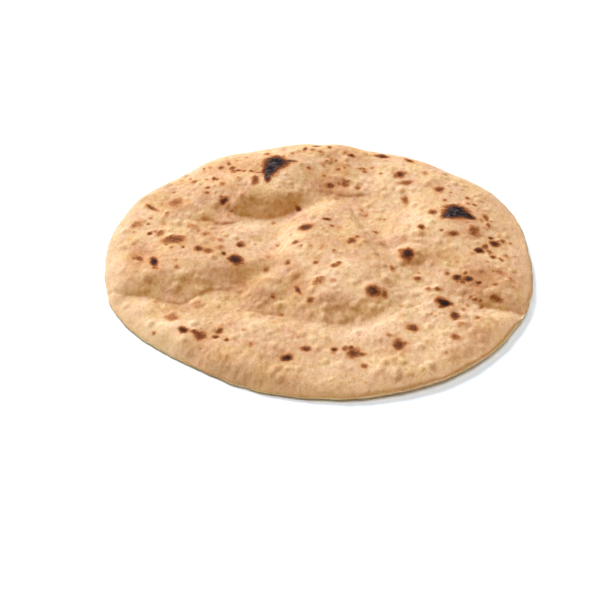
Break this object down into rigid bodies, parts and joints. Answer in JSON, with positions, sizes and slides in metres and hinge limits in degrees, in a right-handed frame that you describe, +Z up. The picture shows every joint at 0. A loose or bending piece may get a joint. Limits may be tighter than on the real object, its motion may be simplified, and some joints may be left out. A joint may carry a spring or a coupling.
{
  "type": "chapati flatbread",
  "caption": "Round thin wheat flatbread lying flat, its top raised in uneven puffs and folds that fall to a thin rolled rim, its underside flat.",
  "frame": {"origin": "centre of the bread's box in plan, at the level of its underside", "axes": "+Z up through the thickness, +X to the viewer's right, -Y towards the viewer"},
  "size_m": [0.2, 0.2004, 0.0121],
  "materials": {
    "bread": "matt baked wheat dough with toasted and charred spots"
  },
  "bodies": {
    "root": {"chapati": "bread"}
  },
  "joints": []
}
